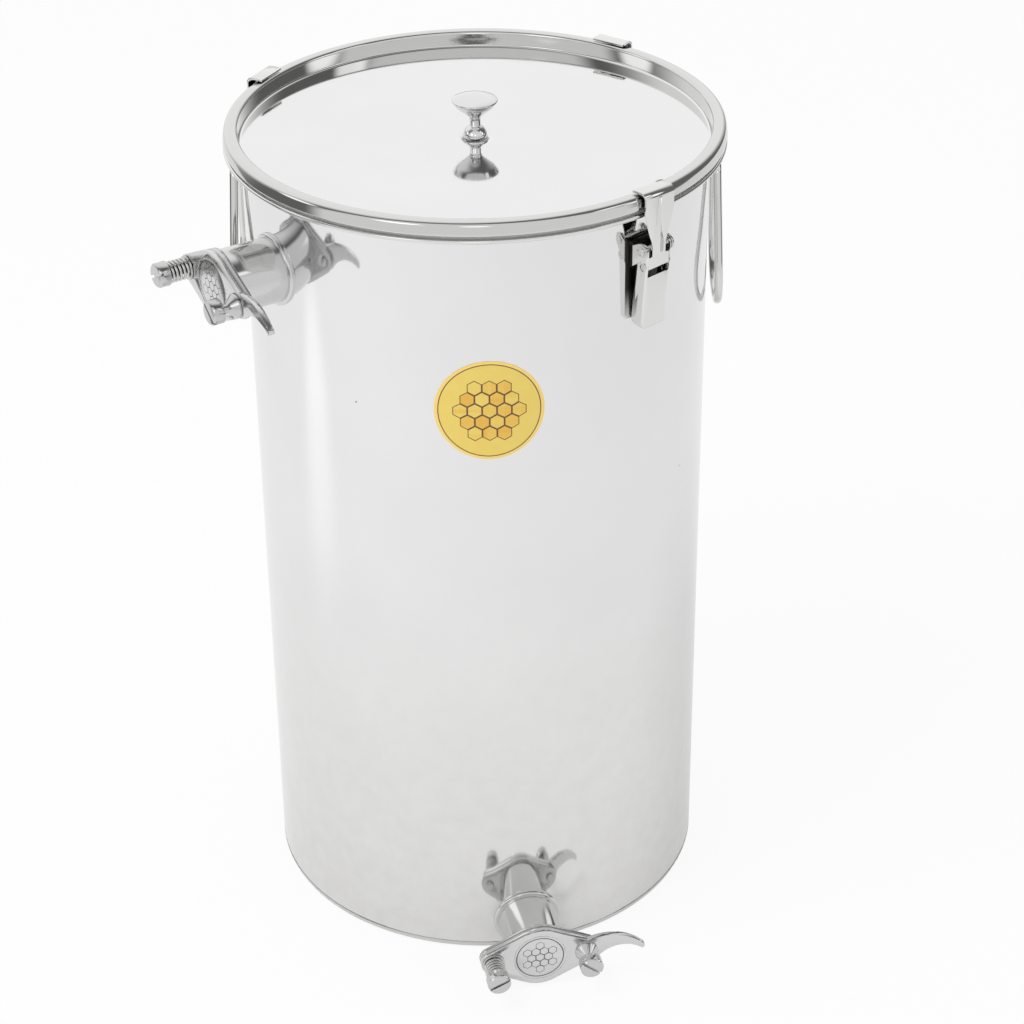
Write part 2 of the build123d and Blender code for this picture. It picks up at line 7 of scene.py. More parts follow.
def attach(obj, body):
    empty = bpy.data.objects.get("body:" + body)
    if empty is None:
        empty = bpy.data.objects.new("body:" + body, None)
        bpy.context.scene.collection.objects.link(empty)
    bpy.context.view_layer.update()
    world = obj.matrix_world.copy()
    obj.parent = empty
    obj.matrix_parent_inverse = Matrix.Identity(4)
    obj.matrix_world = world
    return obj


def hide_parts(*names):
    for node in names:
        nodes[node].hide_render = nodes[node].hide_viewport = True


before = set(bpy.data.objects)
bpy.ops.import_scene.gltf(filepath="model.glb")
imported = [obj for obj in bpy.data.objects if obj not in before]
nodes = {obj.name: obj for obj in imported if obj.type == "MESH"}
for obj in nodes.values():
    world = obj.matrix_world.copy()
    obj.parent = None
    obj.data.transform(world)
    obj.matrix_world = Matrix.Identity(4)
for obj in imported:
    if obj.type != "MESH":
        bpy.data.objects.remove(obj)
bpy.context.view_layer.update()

scene = bpy.context.scene
scene.view_settings.view_transform = "Standard"


# Tank: a drum rolled from bright stainless sheet and welded to a pressed floor pan, with a flat
# rim ring welded round its mouth. The wall is polished almost to a mirror, so it shows the white
# floor in front of it and the fittings that stand off it.
def linear(hex_colour):
    """Linear colour of an sRGB hex value."""
    channels = [int(hex_colour[i:i + 2], 16) / 255 for i in (1, 3, 5)]
    return [c / 12.92 if c <= 0.04045 else ((c + 0.055) / 1.055) ** 2.4 for c in channels] + [1.0]


def add(tree, kind, links=(), **settings):
    """Adds a node; settings are its properties or sockets, links pairs of a socket and a source."""
    node = tree.nodes.new(kind)
    for name, value in settings.items():
        if name in node.bl_rna.properties:
            setattr(node, name, value)
        else:
            node.inputs[name.replace("_", " ")].default_value = value
    for socket, source in links:
        tree.links.new(source, node.inputs[socket])
    return node


def new_material(name):
    """An empty material and its node tree."""
    material = bpy.data.materials.new(name)
    material.use_nodes = True
    material.node_tree.nodes.clear()
    return material, material.node_tree


def steel(name, colour, shade, roughness, grain_mm, turn=0.0, relief_mm=0.0):
    """Stainless steel between two tints, with marks of a size along X, Y and Z after a turn about Z."""
    cloud_mm, swing, faint, strong = 70.0, 0.3, 0.3, 0.7
    material, tree = new_material(name)
    place = add(tree, "ShaderNodeTexCoord").outputs["Object"]
    turned = add(tree, "ShaderNodeVectorRotate", [("Vector", place)],
                 rotation_type="Z_AXIS", Angle=math.radians(turn))
    sized = add(tree, "ShaderNodeMapping", [("Vector", turned.outputs[0])],
                Scale=[1000 / mm for mm in grain_mm])
    marks = add(tree, "ShaderNodeTexNoise", [("Vector", sized.outputs[0])], Scale=1.0, Detail=3.0)
    cloud = add(tree, "ShaderNodeTexNoise", [("Vector", place)], Scale=1000 / cloud_mm, Detail=3.0)
    tint = add(tree, "ShaderNodeMix", [(0, cloud.outputs["Fac"])], data_type="RGBA")
    tint.inputs[6].default_value = linear(shade)
    tint.inputs[7].default_value = linear(colour)
    rough = add(tree, "ShaderNodeMapRange", [("Value", marks.outputs["Fac"])],
                From_Min=faint, From_Max=strong,
                To_Min=roughness * (1 - swing), To_Max=roughness * (1 + swing))
    links = [("Base Color", tint.outputs[2]), ("Roughness", rough.outputs["Result"])]
    if relief_mm:
        bump = add(tree, "ShaderNodeBump", [("Height", marks.outputs["Fac"])],
                   Strength=1.0, Distance=relief_mm / 1000)
        links.append(("Normal", bump.outputs["Normal"]))
    shader = add(tree, "ShaderNodeBsdfPrincipled", links, Metallic=1.0)
    add(tree, "ShaderNodeOutputMaterial", [("Surface", shader.outputs["BSDF"])])
    return material, tree


def cover(tree, socket, mask, film):
    """Lays a film over what feeds one of the shader's sockets, where the mask is 1."""
    shader = tree.nodes["Principled BSDF"]
    clean = shader.inputs[socket].links[0].from_socket
    covered = add(tree, "ShaderNodeMix", [(0, mask), (6, clean)], data_type="RGBA")
    covered.inputs[7].default_value = film
    tree.links.new(covered.outputs[2], shader.inputs[socket])


def finish(name, material):
    """Gives a CAD piece its material."""
    nodes[name].data.materials.clear()
    nodes[name].data.materials.append(material)


# Bright rolled sheet: faint upright polishing grain, with a few pits that the polish left
wall_steel, tree = steel("bright_rolled_stainless", "#EDEDED", "#E6E6E6", 0.07, (0.8, 0.8, 60.0))
pit_mm, pit_spacing_mm = 0.7, 55.0
place = tree.nodes["Texture Coordinate"].outputs["Object"]
pits = add(tree, "ShaderNodeTexVoronoi", [("Vector", place)], Scale=1000 / pit_spacing_mm)
pitted = add(tree, "ShaderNodeMath", [(0, pits.outputs["Distance"])], operation="LESS_THAN")
pitted.inputs[1].default_value = pit_mm / pit_spacing_mm

# Painted shade: the wall is darkened towards the bottom for the shadowed floor it mirrors there, laid in
# patches like the faint stains low on the sheet
low_shade_from_mm, low_shade_full_mm, stain_patch_mm, patch_low, patch_high = 380.0, 20.0, 14.0, -0.2, 1.0
height = add(tree, "ShaderNodeSeparateXYZ", [(0, place)]).outputs["Z"]
lower = add(tree, "ShaderNodeMapRange", [("Value", height)],
            From_Min=low_shade_from_mm / 1000, From_Max=low_shade_full_mm / 1000)
stain_patches = add(tree, "ShaderNodeTexNoise", [("Vector", place)], Scale=1000 / stain_patch_mm, Detail=6.0)
patchy = add(tree, "ShaderNodeMapRange", [("Value", stain_patches.outputs["Fac"])],
             From_Min=patch_low, From_Max=patch_high)
stains_and_low_shade = add(tree, "ShaderNodeMath", [(0, lower.outputs["Result"]), (1, patchy.outputs["Result"])],
              operation="MULTIPLY")
# painted shade low on the wall, for the mirrored floor shadow, in stain-like patches
cover(tree, "Base Color", stains_and_low_shade.outputs[0], linear("#DAD9D7"))
cover(tree, "Base Color", pitted.outputs[0], linear("#77756F"))
finish("tank_shell", wall_steel)

# Pressed floor pan: the same sheet, duller where it was drawn over the die
floor_steel, tree = steel("drawn_stainless_pan", "#DADAD8", "#CFCFCC", 0.16, (2.0, 2.0, 2.0))
finish("tank_floor", floor_steel)


def spun(name, body, path_mm, material, closed=False):
    """Takes a CAD piece's place with a finely turned one: a path of radius and height spun about Z."""
    facets, touching, crease = 192, 0.00001, math.radians(40)
    bm = bmesh.new()
    ring = [bm.verts.new((r / 1000, 0, z / 1000)) for r, z in path_mm]
    pairs = list(zip(ring, ring[1:]))
    if closed:
        pairs.append((ring[-1], ring[0]))
    edges = [bm.edges.new(pair) for pair in pairs]
    bmesh.ops.spin(bm, geom=ring + edges, axis=(0, 0, 1), angle=math.tau, steps=facets, use_merge=True)
    bmesh.ops.remove_doubles(bm, verts=bm.verts, dist=touching)
    bmesh.ops.recalc_face_normals(bm, faces=bm.faces)
    for edge in bm.edges:
        edge.smooth = edge.calc_face_angle(0.0) < crease
    mesh = bpy.data.meshes.new(name + "_turned")
    bm.to_mesh(mesh)
    bm.free()
    for face in mesh.polygons:
        face.use_smooth = True
    mesh.materials.append(material)
    piece = bpy.data.objects.new(name + "_turned", mesh)
    scene.collection.objects.link(piece)
    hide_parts(name)
    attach(piece, body)
    return piece


# Beaded rim ring: polished after welding, with fine marks that run round it
rim_steel, tree = steel("polished_stainless_rim", "#E9E9E8", "#DEDEDC", 0.06, (12.0, 12.0, 0.5))
rim_low, rim_top, rim_in, bead_at, bead_up, bead_r = 652.5, 655.0, 180.05, 191.4, 654.8, 1.7
bead_steps = 24
bead_end = math.pi - math.asin((rim_top - bead_up) / bead_r)
bead_sweep = bead_end + math.pi / 2
bead = [-math.pi / 2 + bead_sweep * step / bead_steps for step in range(bead_steps + 1)]
rim_path = [(rim_in, rim_top), (rim_in, rim_low), (bead_at, rim_low)]
rim_path += [(bead_at + bead_r * math.cos(turn), bead_up + bead_r * math.sin(turn)) for turn in bead]
spun("tank_rim", "can", rim_path, rim_steel, closed=True)


# Strainer: a perforated basket with a rolled rim that hangs on three lugs welded inside the wall.
# It is punched stainless sheet with a dull mill finish.
mill_steel, tree = steel("mill_finish_stainless", "#C9C9C6", "#B9B9B6", 0.32, (1.5, 1.5, 1.5))
for name in ("strainer_basket", "strainer_rim", "strainer_lugs"):
    finish(name, mill_steel)


# Honey gates: a short outlet tube welded into the wall, a diamond flange on its end and a blade
# that swings across it on a slotted bolt, pressed down by a coil spring. A second slotted screw
# with a cone locks the blade. All are stainless, cast or turned, and duller than the drum.
def eased(name, body, ease_mm, material):
    """Takes a CAD piece's place with the same form, its stamped or turned edges broken."""
    touching, level, corner = 0.00001, math.radians(0.5), math.radians(40)
    bm = bmesh.new()
    bm.from_mesh(nodes[name].data)
    bmesh.ops.remove_doubles(bm, verts=bm.verts, dist=touching)
    bmesh.ops.dissolve_limit(bm, angle_limit=level, verts=bm.verts, edges=bm.edges)
    mesh = bpy.data.meshes.new(name + "_eased")
    bm.to_mesh(mesh)
    bm.free()
    mesh.shade_smooth()
    mesh.materials.append(material)
    piece = bpy.data.objects.new(name + "_eased", mesh)
    scene.collection.objects.link(piece)
    edges = piece.modifiers.new("eased_edges", "BEVEL")
    edges.width = ease_mm / 1000
    edges.segments = 2
    edges.limit_method = "ANGLE"
    edges.angle_limit = corner
    edges.harden_normals = True
    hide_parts(name)
    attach(piece, body)


def honeycomb(tree, spot, cell_mm, patch_mm):
    """Comb on a flat place in mm: its lines, its whole cells near the middle, and each cell's centre."""
    pitch, half_cell, line_from = (1.0, math.sqrt(3), 1.0), 0.5, 0.44
    scaled = add(tree, "ShaderNodeVectorMath", [(0, spot)],
                 operation="SCALE", Scale=1 / cell_mm).outputs[0]
    tiled = add(tree, "ShaderNodeVectorMath", [(0, scaled)], operation="DIVIDE")
    tiled.inputs[1].default_value = pitch
    from_centre = []
    lengths = []
    for shift in (0.0, half_cell):
        moved = add(tree, "ShaderNodeVectorMath", [(0, tiled.outputs[0])], operation="ADD")
        moved.inputs[1].default_value = (shift, shift, 0)
        part = add(tree, "ShaderNodeVectorMath", [(0, moved.outputs[0])], operation="FRACTION")
        centred = add(tree, "ShaderNodeVectorMath", [(0, part.outputs[0])], operation="SUBTRACT")
        centred.inputs[1].default_value = (half_cell, half_cell, 0)
        sized = add(tree, "ShaderNodeVectorMath", [(0, centred.outputs[0])], operation="MULTIPLY")
        sized.inputs[1].default_value = pitch
        length = add(tree, "ShaderNodeVectorMath", [(0, sized.outputs[0])], operation="LENGTH")
        from_centre.append(sized.outputs[0])
        lengths.append(length.outputs["Value"])
    nearer = add(tree, "ShaderNodeMath", [(0, lengths[1]), (1, lengths[0])], operation="LESS_THAN")
    own = add(tree, "ShaderNodeMix", [(0, nearer.outputs[0]), (4, from_centre[0]), (5, from_centre[1])],
              data_type="VECTOR").outputs[1]
    folded = add(tree, "ShaderNodeVectorMath", [(0, own)], operation="ABSOLUTE").outputs[0]
    slant = add(tree, "ShaderNodeVectorMath", [(0, folded)], operation="DOT_PRODUCT")
    slant.inputs[1].default_value = (0.5, math.sqrt(3) / 2, 0)
    across = add(tree, "ShaderNodeSeparateXYZ", [(0, folded)]).outputs["X"]
    reach = add(tree, "ShaderNodeMath", [(0, across), (1, slant.outputs["Value"])], operation="MAXIMUM")
    centre = add(tree, "ShaderNodeVectorMath", [(0, scaled), (1, own)], operation="SUBTRACT").outputs[0]
    out = add(tree, "ShaderNodeVectorMath", [(0, centre)], operation="LENGTH").outputs["Value"]
    inside = add(tree, "ShaderNodeMath", [(0, out)], operation="LESS_THAN")
    inside.inputs[1].default_value = patch_mm / cell_mm
    wall = add(tree, "ShaderNodeMath", [(0, reach.outputs[0])], operation="GREATER_THAN")
    wall.inputs[1].default_value = line_from
    line = add(tree, "ShaderNodeMath", [(0, wall.outputs[0]), (1, inside.outputs[0])],
               operation="MULTIPLY")
    return line.outputs[0], inside.outputs[0], centre


gate_turns = {"lower": 0.0, "upper": 68.3}
gate_heights_mm = {"lower": 30.0, "upper": 590.0}
pivot_mm, shank_mm, shank_play_mm, blade_front_mm, head_back_mm = 38.7, 4.0, 0.4, 232.0, 249.7
cell_mm, patch_mm, ring_mm, ring_half_mm, engraved_mm = 7.0, 12.5, 19.5, 0.45, 0.3
plate_ease_mm, bolt_ease_mm, washer_ease_mm = 0.5, 0.35, 0.25
for gate, turn in gate_turns.items():
    # Drawn tube: long streaks run along it from the die, bright between them
    tube_steel, tree = steel(gate + "_drawn_stainless_tube", "#DEDEDE", "#CACACA", 0.09,
                             (1.6, 60.0, 1.6), turn)
    finish(gate + "_gate_outlet", tube_steel)

    # Investment cast plates: a soft satin from tumbling, which blurs what they mirror
    cast_steel, tree = steel(gate + "_tumbled_cast_stainless", "#D4D4D4", "#C4C4C4", 0.2,
                             (0.9, 0.9, 0.9), turn, 0.005)
    eased(gate + "_gate_flange", "can", plate_ease_mm, cast_steel)

    # The blade is cast too; a ring and a small patch of comb are engraved in its middle
    blade_steel, tree = steel(gate + "_engraved_cast_stainless", "#DFDFDF", "#D0D0D0", 0.18,
                              (0.9, 0.9, 0.9), turn)
    turned = tree.nodes["Vector Rotate"].outputs[0]
    spread = add(tree, "ShaderNodeSeparateXYZ", [(0, turned)])
    level = add(tree, "ShaderNodeMath", [(0, spread.outputs["Z"])], operation="SUBTRACT")
    level.inputs[1].default_value = gate_heights_mm[gate] / 1000
    flat = add(tree, "ShaderNodeCombineXYZ", [("X", spread.outputs["X"]), ("Y", level.outputs[0])])
    spot = add(tree, "ShaderNodeVectorMath", [(0, flat.outputs[0])],
               operation="SCALE", Scale=1000.0).outputs[0]
    line, inside, centre = honeycomb(tree, spot, cell_mm, patch_mm)
    out = add(tree, "ShaderNodeVectorMath", [(0, spot)], operation="LENGTH").outputs["Value"]
    ring = add(tree, "ShaderNodeMath", [(0, out)], operation="COMPARE")
    ring.inputs[1].default_value = ring_mm
    ring.inputs[2].default_value = ring_half_mm
    cut = add(tree, "ShaderNodeMath", [(0, ring.outputs[0]), (1, line)], operation="MAXIMUM").outputs[0]
    cover(tree, "Base Color", cut, linear("#6E6E6C"))
    engraved = add(tree, "ShaderNodeBump", [("Height", cut)],
                   Strength=0.6, Distance=engraved_mm / 1000, invert=True)
    tree.links.new(engraved.outputs["Normal"], tree.nodes["Principled BSDF"].inputs["Normal"])
    eased(gate + "_gate_blade", gate + "_blade", plate_ease_mm, blade_steel)

    # Turned bolts: tool marks run round them, so the gloss breaks into fine rings
    bolt_steel, tree = steel(gate + "_turned_stainless", "#D6D6D6", "#C0C0C0", 0.14,
                             (6.0, 0.5, 6.0), turn, 0.02)
    eased(gate + "_gate_lock_screw", gate + "_lock", bolt_ease_mm, bolt_steel)
    eased(gate + "_gate_spring_washer", "can", washer_ease_mm, bolt_steel)

    # The pivot bolt is turned too; its shank inside the spring is painted dark, a painted shade for the
    # shadow that the spring and blade cast round it
    shank_shade_steel, tree = steel(gate + "_greased_turned_stainless", "#D6D6D6", "#C0C0C0", 0.14,
                                (6.0, 0.5, 6.0), turn, 0.02)
    turned = tree.nodes["Vector Rotate"].outputs[0]
    pivot = add(tree, "ShaderNodeVectorMath", [(0, turned)], operation="SUBTRACT")
    pivot.inputs[1].default_value = (-pivot_mm / 1000, 0, gate_heights_mm[gate] / 1000)
    across = add(tree, "ShaderNodeVectorMath", [(0, pivot.outputs[0])], operation="MULTIPLY")
    across.inputs[1].default_value = (1, 0, 1)
    out = add(tree, "ShaderNodeVectorMath", [(0, across.outputs[0])], operation="LENGTH")
    slim = add(tree, "ShaderNodeMath", [(0, out.outputs["Value"])], operation="LESS_THAN")
    slim.inputs[1].default_value = (shank_mm + shank_play_mm) / 1000
    depth = add(tree, "ShaderNodeSeparateXYZ", [(0, turned)]).outputs["Y"]
    between = add(tree, "ShaderNodeMath", [(0, depth)], operation="COMPARE")
    between.inputs[1].default_value = -(blade_front_mm + head_back_mm) / 2000
    between.inputs[2].default_value = (head_back_mm - blade_front_mm) / 2000
    shank = add(tree, "ShaderNodeMath", [(0, slim.outputs[0]), (1, between.outputs[0])],
                operation="MULTIPLY")
    # painted shade on the shank between the blade and the bolt head
    cover(tree, "Base Color", shank.outputs[0], linear("#33322F"))
    eased(gate + "_gate_pivot_bolt", "can", bolt_ease_mm, shank_shade_steel)

    # Spring wire: drawn bright, slightly dark from the coiling lubricant
    wire_steel, tree = steel(gate + "_drawn_spring_wire", "#DCDCDA", "#C4C4C1", 0.14,
                             (1.0, 1.0, 1.0), turn)
    finish(gate + "_gate_spring", wire_steel)


# Carrying handles: loops of bent stainless rod that swing in pressed saddles welded to the wall.
# The rod is polished, so each side shows one thin dark line beside a bright one.
rod_steel, tree = steel("polished_stainless_rod", "#E2E2E0", "#D2D2CF", 0.07, (1.5, 1.5, 25.0))
saddle_steel, tree = steel("pressed_stainless_saddle", "#D3D3D1", "#C2C2BF", 0.15, (1.2, 1.2, 1.2))
sheet_ease_mm = 0.3
for side in ("right", "left"):
    finish(side + "_handle_ring", rod_steel)
    eased(side + "_handle_bracket", "can", sheet_ease_mm, saddle_steel)


# Toggle latches: a base plate with two ears held by studs, a channel lever on a pivot pin, and a
# strap hook with a claw over the lid. All are pressed from bright stainless sheet, so their flats
# are white and their cut edges dark.
def from_axis(tree):
    """Distance of a steel's places from the can's axis."""
    place = tree.nodes["Texture Coordinate"].outputs["Object"]
    flat = add(tree, "ShaderNodeVectorMath", [(0, place)], operation="MULTIPLY")
    flat.inputs[1].default_value = (1, 1, 0)
    return add(tree, "ShaderNodeVectorMath", [(0, flat.outputs[0])], operation="LENGTH").outputs["Value"]


pressed_steel, tree = steel("pressed_bright_stainless", "#E9E9E8", "#DEDEDC", 0.09, (1.0, 1.0, 30.0))
plate_steel, tree = steel("pressed_stainless_plate", "#D6D6D4", "#C6C6C3", 0.14, (1.0, 1.0, 20.0))
# Painted shade: the upper part of the plate, behind the strap and under the lever, is painted dark and
# duller where shade falls, thinning out downward
plate_shade_r_mm, plate_shade_from_mm, plate_shade_full_mm, plate_shade_rough = 184.5, 566.0, 594.0, 0.45
behind = add(tree, "ShaderNodeMath", [(0, from_axis(tree))], operation="LESS_THAN")
behind.inputs[1].default_value = plate_shade_r_mm / 1000
place = tree.nodes["Texture Coordinate"].outputs["Object"]
height = add(tree, "ShaderNodeSeparateXYZ", [(0, place)]).outputs["Z"]
upper = add(tree, "ShaderNodeMapRange", [("Value", height)], interpolation_type="SMOOTHSTEP",
            From_Min=plate_shade_from_mm / 1000, From_Max=plate_shade_full_mm / 1000)
plate_shade = add(tree, "ShaderNodeMath", [(0, behind.outputs[0]), (1, upper.outputs["Result"])],
            operation="MULTIPLY")
# painted shade on the plate under the lever, in colour and roughness
cover(tree, "Base Color", plate_shade.outputs[0], linear("#2C2B29"))
cover(tree, "Roughness", plate_shade.outputs[0], (plate_shade_rough, plate_shade_rough, plate_shade_rough, 1.0))

# Headed pins: small and tumbled, so their gloss is a little broken
pin_steel, tree = steel("headed_stainless_pin", "#D9D9D7", "#C4C4C1", 0.14, (0.7, 0.7, 0.7))
for place_name in ("front", "right", "left"):
    eased(place_name + "_latch_base", "can", sheet_ease_mm, plate_steel)
    finish(place_name + "_latch_studs", pin_steel)
    eased(place_name + "_latch_lever", place_name + "_lever", sheet_ease_mm, pressed_steel)
    finish(place_name + "_latch_pivot_pin", pin_steel)
    eased(place_name + "_latch_hook", place_name + "_hook", sheet_ease_mm, pressed_steel)
    finish(place_name + "_latch_hook_pin", pin_steel)


# Lid: one pressed stainless pan, its edge drawn into a channel that holds a silicone gasket. The
# flat is polished like the wall, and the channel is a shade darker from the drawing.
lid_steel, tree = steel("pressed_polished_lid", "#EBEBEB", "#E6E6E6", 0.07, (40.0, 40.0, 0.6))
channel_from_mm = 180.6
channel = add(tree, "ShaderNodeMath", [(0, from_axis(tree))], operation="GREATER_THAN")
channel.inputs[1].default_value = channel_from_mm / 1000
cover(tree, "Base Color", channel.outputs[0], linear("#D8D8D6"))


def rounded(points, bends):
    """Path in mm through points of radius and height, its inner corners turned on their bend radius."""
    steps = 8
    spots = [Vector(point) for point in points]
    path = [spots[0]]
    for before, corner, after, bend in zip(spots, spots[1:], spots[2:], bends):
        back = (before - corner).normalized()
        onward = (after - corner).normalized()
        half = back.angle(onward) / 2
        middle = corner + (back + onward).normalized() * bend / math.sin(half)
        start = corner + back * bend / math.tan(half) - middle
        end = corner + onward * bend / math.tan(half) - middle
        path += [middle + bend * start.slerp(end, step / steps) for step in range(steps + 1)]
    return path + [spots[-1]]


# The skirt flares a little from the crown to its hem, as the press leaves it
hem, skirt_foot, skirt_top, wall_top, wall_foot = 191.2, 193.2, 191.6, 181.6, 181.0
dish, boss, screw_hole = 140.0, 22.0, 3.1
hem_z, crown_z, disc_z, boss_z, lid_sheet = 658.9, 669.6, 656.5, 654.5, 1.2
hem_bend, crown_bend, lip_bend, foot_bend, dish_bend = 1.2, 4.5, 3.0, 2.0, 400.0
lid_path = rounded(
    ((hem, hem_z), (skirt_foot, hem_z), (skirt_top, crown_z), (wall_top, crown_z), (wall_foot, disc_z),
     (dish, disc_z), (boss, boss_z), (screw_hole, boss_z)),
    (hem_bend, crown_bend, lip_bend, foot_bend, dish_bend, dish_bend))
lid = spun("lid_pan", "lid", lid_path, lid_steel)
pressed = lid.modifiers.new("sheet", "SOLIDIFY")
pressed.thickness = lid_sheet / 1000

# Silicone gasket: soft white, dull, with a fine bloom
silicone, tree = new_material("moulded_silicone")
bloom_mm, glossiest, dullest = 3.0, 0.45, 0.65
place = add(tree, "ShaderNodeTexCoord").outputs["Object"]
bloom = add(tree, "ShaderNodeTexNoise", [("Vector", place)], Scale=1000 / bloom_mm, Detail=4.0)
dull = add(tree, "ShaderNodeMapRange", [("Value", bloom.outputs["Fac"])],
           To_Min=glossiest, To_Max=dullest)
tone = add(tree, "ShaderNodeMix", [(0, bloom.outputs["Fac"])], data_type="RGBA")
tone.inputs[6].default_value = linear("#DEDDD8")
tone.inputs[7].default_value = linear("#EBEAE6")
shader = add(tree, "ShaderNodeBsdfPrincipled",
             [("Base Color", tone.outputs[2]), ("Roughness", dull.outputs["Result"])])
add(tree, "ShaderNodeOutputMaterial", [("Surface", shader.outputs["BSDF"])])
finish("lid_gasket", silicone)

# Turned knob on a screw and washer: a ball foot, a slim neck and a flared dish, buffed to a mirror
knob_steel, tree = steel("lathe_buffed_stainless", "#E8E8E8", "#DADADA", 0.04, (8.0, 8.0, 0.5))
knob_seat, screw_r, screw_grip, ball_r, ball_mid = 0.05, 3.1, 10.1, 9.25, 0.3
neck_r, neck_top, neck_bend, belly, belly_bend = 4.2, 15.2, 6.0, (14.8, 24.4), 9.0
dish_r, dish_edge, dish_z, dome_rise, arc_steps = 18.0, 0.8, 29.3, 4.5, 16
foot_turn = math.asin((knob_seat - ball_mid) / ball_r)
neck_turn = math.acos(neck_r / ball_r)
turns = [foot_turn + (neck_turn - foot_turn) * step / arc_steps for step in range(arc_steps + 1)]
ball = [(ball_r * math.cos(turn), ball_mid + ball_r * math.sin(turn)) for turn in turns]
dome_r = (dish_r ** 2 + dome_rise ** 2) / (2 * dome_rise)
dome_mid = dish_z + dome_rise - dome_r
turns = [math.asin(dish_r / dome_r) * (arc_steps - step) / arc_steps for step in range(arc_steps + 1)]
dome = [(dome_r * math.sin(turn), dome_mid + dome_r * math.cos(turn)) for turn in turns]
flared = rounded((ball[-1], (neck_r, neck_top), belly, dome[0], dome[1]),
                 (neck_bend, belly_bend, dish_edge))
socket_path = [(0, screw_grip), (screw_r, screw_grip), (screw_r, knob_seat)]
knob_path = socket_path + ball + flared[1:] + dome[2:]
spun("lid_knob", "lid", [(r, boss_z + z) for r, z in knob_path], knob_steel)
for name in ("knob_screw", "knob_washer"):
    finish(name, pin_steel)


# Label: a round printed film stuck to the wall, yellow with a brown line inside its edge and a
# plain patch of comb cells in its middle. The film is glossy.
label_mm = {"height": 512.5, "wall_r": 180.0, "line_r": 38.3, "line_half": 0.4,
            "cell": 11.0, "patch": 26.0, "cloud": 12.0}
label_azimuth, empty_share = -8.05, 0.55
film, tree = new_material("printed_vinyl_film")
place = add(tree, "ShaderNodeTexCoord").outputs["Object"]
spread = add(tree, "ShaderNodeSeparateXYZ", [(0, place)])
front = add(tree, "ShaderNodeMath", [(0, spread.outputs["Y"])], operation="MULTIPLY")
front.inputs[1].default_value = -1.0
round_wall = add(tree, "ShaderNodeMath", [(0, spread.outputs["X"]), (1, front.outputs[0])],
                 operation="ARCTAN2")
off = add(tree, "ShaderNodeMath", [(0, round_wall.outputs[0])], operation="SUBTRACT")
off.inputs[1].default_value = math.radians(label_azimuth)
along = add(tree, "ShaderNodeMath", [(0, off.outputs[0])], operation="MULTIPLY")
along.inputs[1].default_value = label_mm["wall_r"]
lift = add(tree, "ShaderNodeMath", [(0, spread.outputs["Z"])], operation="MULTIPLY_ADD")
lift.inputs[1].default_value = 1000.0
lift.inputs[2].default_value = -label_mm["height"]
spot = add(tree, "ShaderNodeCombineXYZ", [("X", along.outputs[0]), ("Y", lift.outputs[0])]).outputs[0]
line, inside, centre = honeycomb(tree, spot, label_mm["cell"], label_mm["patch"])
chance = add(tree, "ShaderNodeTexWhiteNoise", [("Vector", centre)], noise_dimensions="2D")
full = add(tree, "ShaderNodeMath", [(0, chance.outputs["Value"])], operation="GREATER_THAN")
full.inputs[1].default_value = empty_share
filled = add(tree, "ShaderNodeMath", [(0, full.outputs[0]), (1, inside)], operation="MULTIPLY")
out = add(tree, "ShaderNodeVectorMath", [(0, spot)], operation="LENGTH").outputs["Value"]
edge = add(tree, "ShaderNodeMath", [(0, out)], operation="GREATER_THAN")
edge.inputs[1].default_value = label_mm["line_r"]
ring = add(tree, "ShaderNodeMath", [(0, out)], operation="COMPARE")
ring.inputs[1].default_value = label_mm["line_r"]
ring.inputs[2].default_value = label_mm["line_half"]
ink = add(tree, "ShaderNodeMath", [(0, ring.outputs[0]), (1, line)], operation="MAXIMUM")
film_cloud = add(tree, "ShaderNodeTexNoise", [("Vector", spot)], Scale=1 / label_mm["cloud"], Detail=2.0)
field = add(tree, "ShaderNodeMix", [(0, film_cloud.outputs["Fac"])], data_type="RGBA")
field.inputs[6].default_value = linear("#F0D05C")
field.inputs[7].default_value = linear("#F4DA70")
shader = add(tree, "ShaderNodeBsdfPrincipled", [("Base Color", field.outputs[2])],
             Roughness=0.4, Coat_Weight=0.3, Coat_Roughness=0.15)
for mask, tone in ((edge, "#FFDB78"), (filled, "#EDB842"), (ink, "#6B451F")):
    cover(tree, "Base Color", mask.outputs[0], linear(tone))
add(tree, "ShaderNodeOutputMaterial", [("Surface", shader.outputs["BSDF"])])
finish("front_label", film)


# Studio: a plain white paper floor under soft light, which keeps the can's soft shadow. The room
# round it is dim but for a white sweep behind the can and lamps at its sides and in front, which
# draw the bright and dark lines on the bends of the steel.
floor_half, floor_longer, floor_shift = 2.4, 1.7, (0.82, 1.0, 0)
floor_bm = bmesh.new()
bmesh.ops.create_grid(floor_bm, x_segments=1, y_segments=1, size=floor_half)
bmesh.ops.scale(floor_bm, vec=(1.0, floor_longer, 1.0), verts=floor_bm.verts)
bmesh.ops.translate(floor_bm, vec=floor_shift, verts=floor_bm.verts)
floor_mesh = bpy.data.meshes.new("floor")
floor_bm.to_mesh(floor_mesh)
floor_bm.free()
floor = bpy.data.objects.new("floor", floor_mesh)
scene.collection.objects.link(floor)

